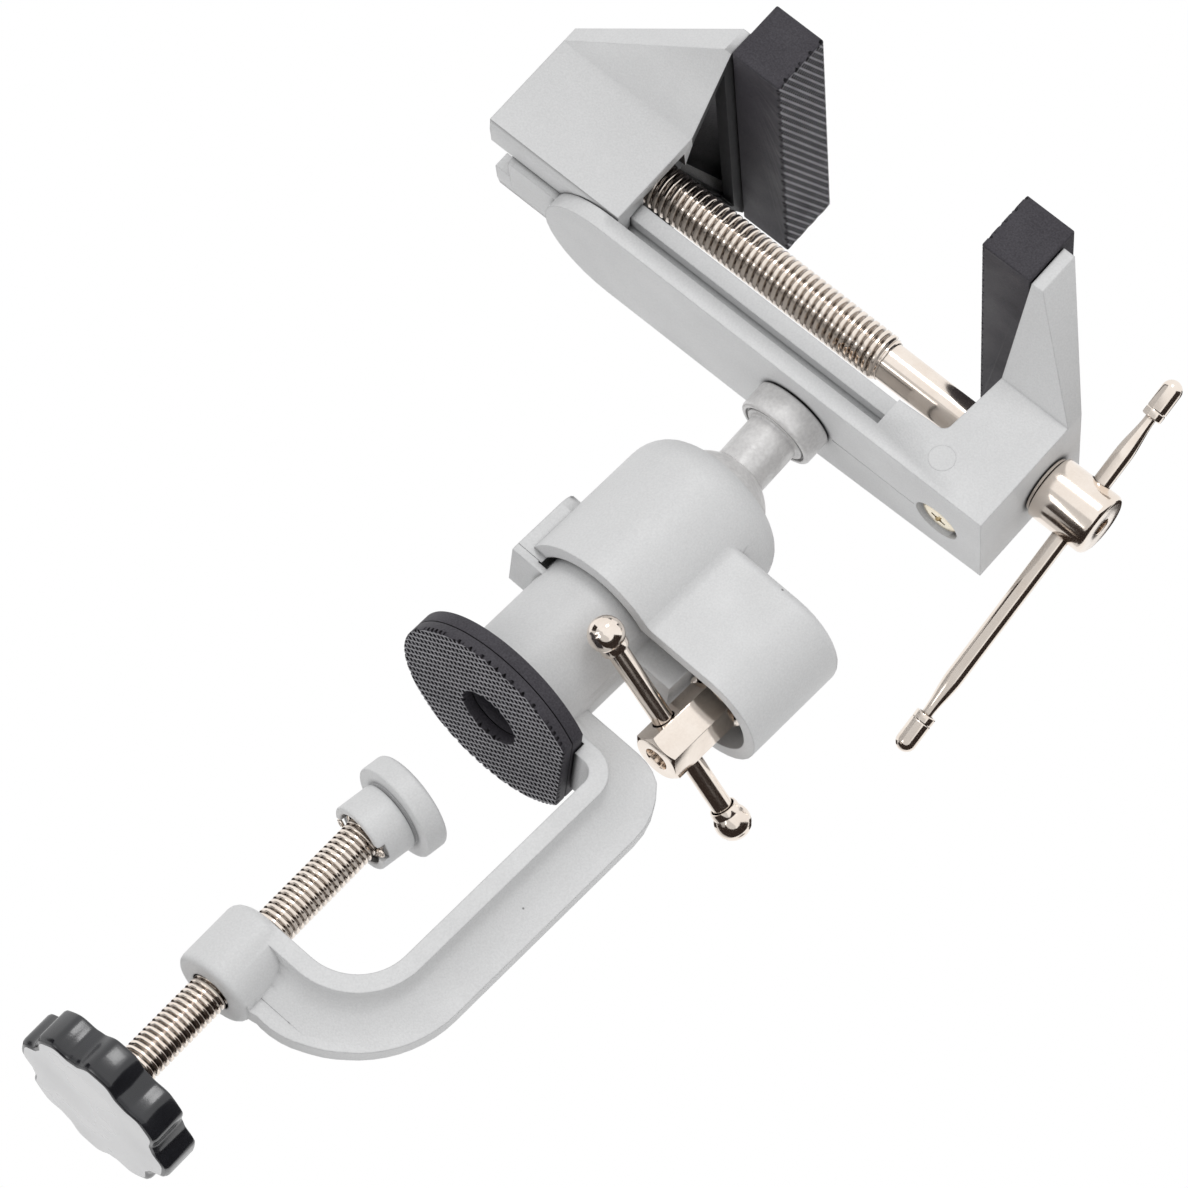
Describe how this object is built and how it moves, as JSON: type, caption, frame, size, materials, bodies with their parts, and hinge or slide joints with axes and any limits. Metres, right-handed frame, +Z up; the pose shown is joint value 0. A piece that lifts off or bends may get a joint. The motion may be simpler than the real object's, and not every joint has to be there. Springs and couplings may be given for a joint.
{
  "type": "swivel bench vise",
  "caption": "Table-clamp bench vise: a C-shaped clamp and knob below, a lockable ball joint, and screw-driven jaws with rubber pads and a sliding handle bar above.",
  "frame": {"origin": "centre of the table pad's underside, where it rests on the table top", "axes": "+Z up along the clamp's barrel, +X towards the C-shaped arm, the lock bolt and the vise handle, +Y away from the camera"},
  "size_m": [0.1398, 0.078, 0.2481],
  "materials": {
    "cast_paint": "fine-grained silver paint on a casting",
    "raw_cast": "bare casting, mottled",
    "nickel": "bright nickel plate on steel",
    "brass": "pale yellow passivated",
    "rubber": "matt charcoal",
    "knob_plastic": "gloss black",
    "seat_nylon": "plain"
  },
  "bodies": {
    "base": {"clamp_frame": "cast_paint", "table_pad": "rubber", "pad_backing": "rubber", "socket_cap": "cast_paint", "lock_washer": "nickel"},
    "seat": {"ball_seat": "seat_nylon"},
    "stud": {"ball_stud": "raw_cast", "stud_screw": "nickel"},
    "head": {"vise_bed": "cast_paint", "fixed_pad": "rubber", "retaining_screw": "brass", "thrust_washer": "nickel"},
    "screw": {"lead_screw": "nickel"},
    "tommy": {"tommy_bar": "nickel", "tommy_cap_upper": "nickel", "tommy_cap_lower": "nickel"},
    "jaw": {"moving_jaw": "cast_paint", "moving_pad": "rubber"},
    "foot_ring": {"foot_retaining_ring": "nickel"},
    "foot": {"pressure_foot": "cast_paint"},
    "clamp_screw": {"clamp_screw": "nickel", "clamp_knob": "knob_plastic"},
    "lock_bolt": {"lock_bolt": "nickel"},
    "lock_bar": {"lock_bar": "nickel", "lock_bar_ball_near": "nickel", "lock_bar_ball_far": "nickel"}
  },
  "joints": [
    {"name": "seat_yaw", "type": "hinge", "parent": "base", "child": "seat", "pos_m": [0, 0, 0.06], "axis": [0, 0, 1], "continuous": true},
    {"name": "stud_tilt", "type": "hinge", "parent": "seat", "child": "stud", "pos_m": [0, 0, 0.06], "axis": [0.9848, -0.1739, 0], "range_deg": [-43.5, 26.5]},
    {"name": "head_spin", "type": "hinge", "parent": "stud", "child": "head", "pos_m": [0, 0, 0.06], "axis": [-0.0258, -0.1463, 0.9889], "continuous": true},
    {"name": "lead_screw_turn", "type": "hinge", "parent": "head", "child": "screw", "pos_m": [0.0443, -0.00787, 0.106], "axis": [0.9994, -0.0268, 0.0221], "range_deg": [-11712, 2400]},
    {"name": "moving_jaw_slide", "type": "slide", "parent": "head", "child": "jaw", "axis": [0.9994, -0.0268, 0.0221], "range_m": [-0.0101, 0.0489]},
    {"name": "tommy_bar_slide", "type": "slide", "parent": "screw", "child": "tommy", "axis": [-0.0324, -0.4906, 0.8708], "range_m": [-0.0145, 0.0409]},
    {"name": "foot_slide", "type": "slide", "parent": "base", "child": "foot_ring", "axis": [-0.0274, 0, 0.9996], "range_m": [-0.0201, 0.0176]},
    {"name": "pressure_foot_tilt", "type": "hinge", "parent": "foot_ring", "child": "foot", "pos_m": [-0.00014, 0, -0.03291], "axis": [0, 1, 0], "range_deg": [-18.1, 0.9]},
    {"name": "clamp_screw_turn", "type": "hinge", "parent": "foot_ring", "child": "clamp_screw", "pos_m": [0.0008, 0, -0.06735], "axis": [-0.0274, 0, 0.9996], "range_deg": [-5760, 5040]},
    {"name": "lock_bolt_turn", "type": "hinge", "parent": "base", "child": "lock_bolt", "pos_m": [0.028, 0, 0.03], "axis": [0, 0, 1], "range_deg": [-4, 95]},
    {"name": "lock_bar_slide", "type": "slide", "parent": "lock_bolt", "child": "lock_bar", "axis": [0.7547, 0.6561, 0], "range_m": [-0.0116, 0.0167]}
  ],
  "couplings": [
    {"joint": "moving_jaw_slide", "follows": "lead_screw_turn", "m_per_rad": -0.00023873}
  ]
}
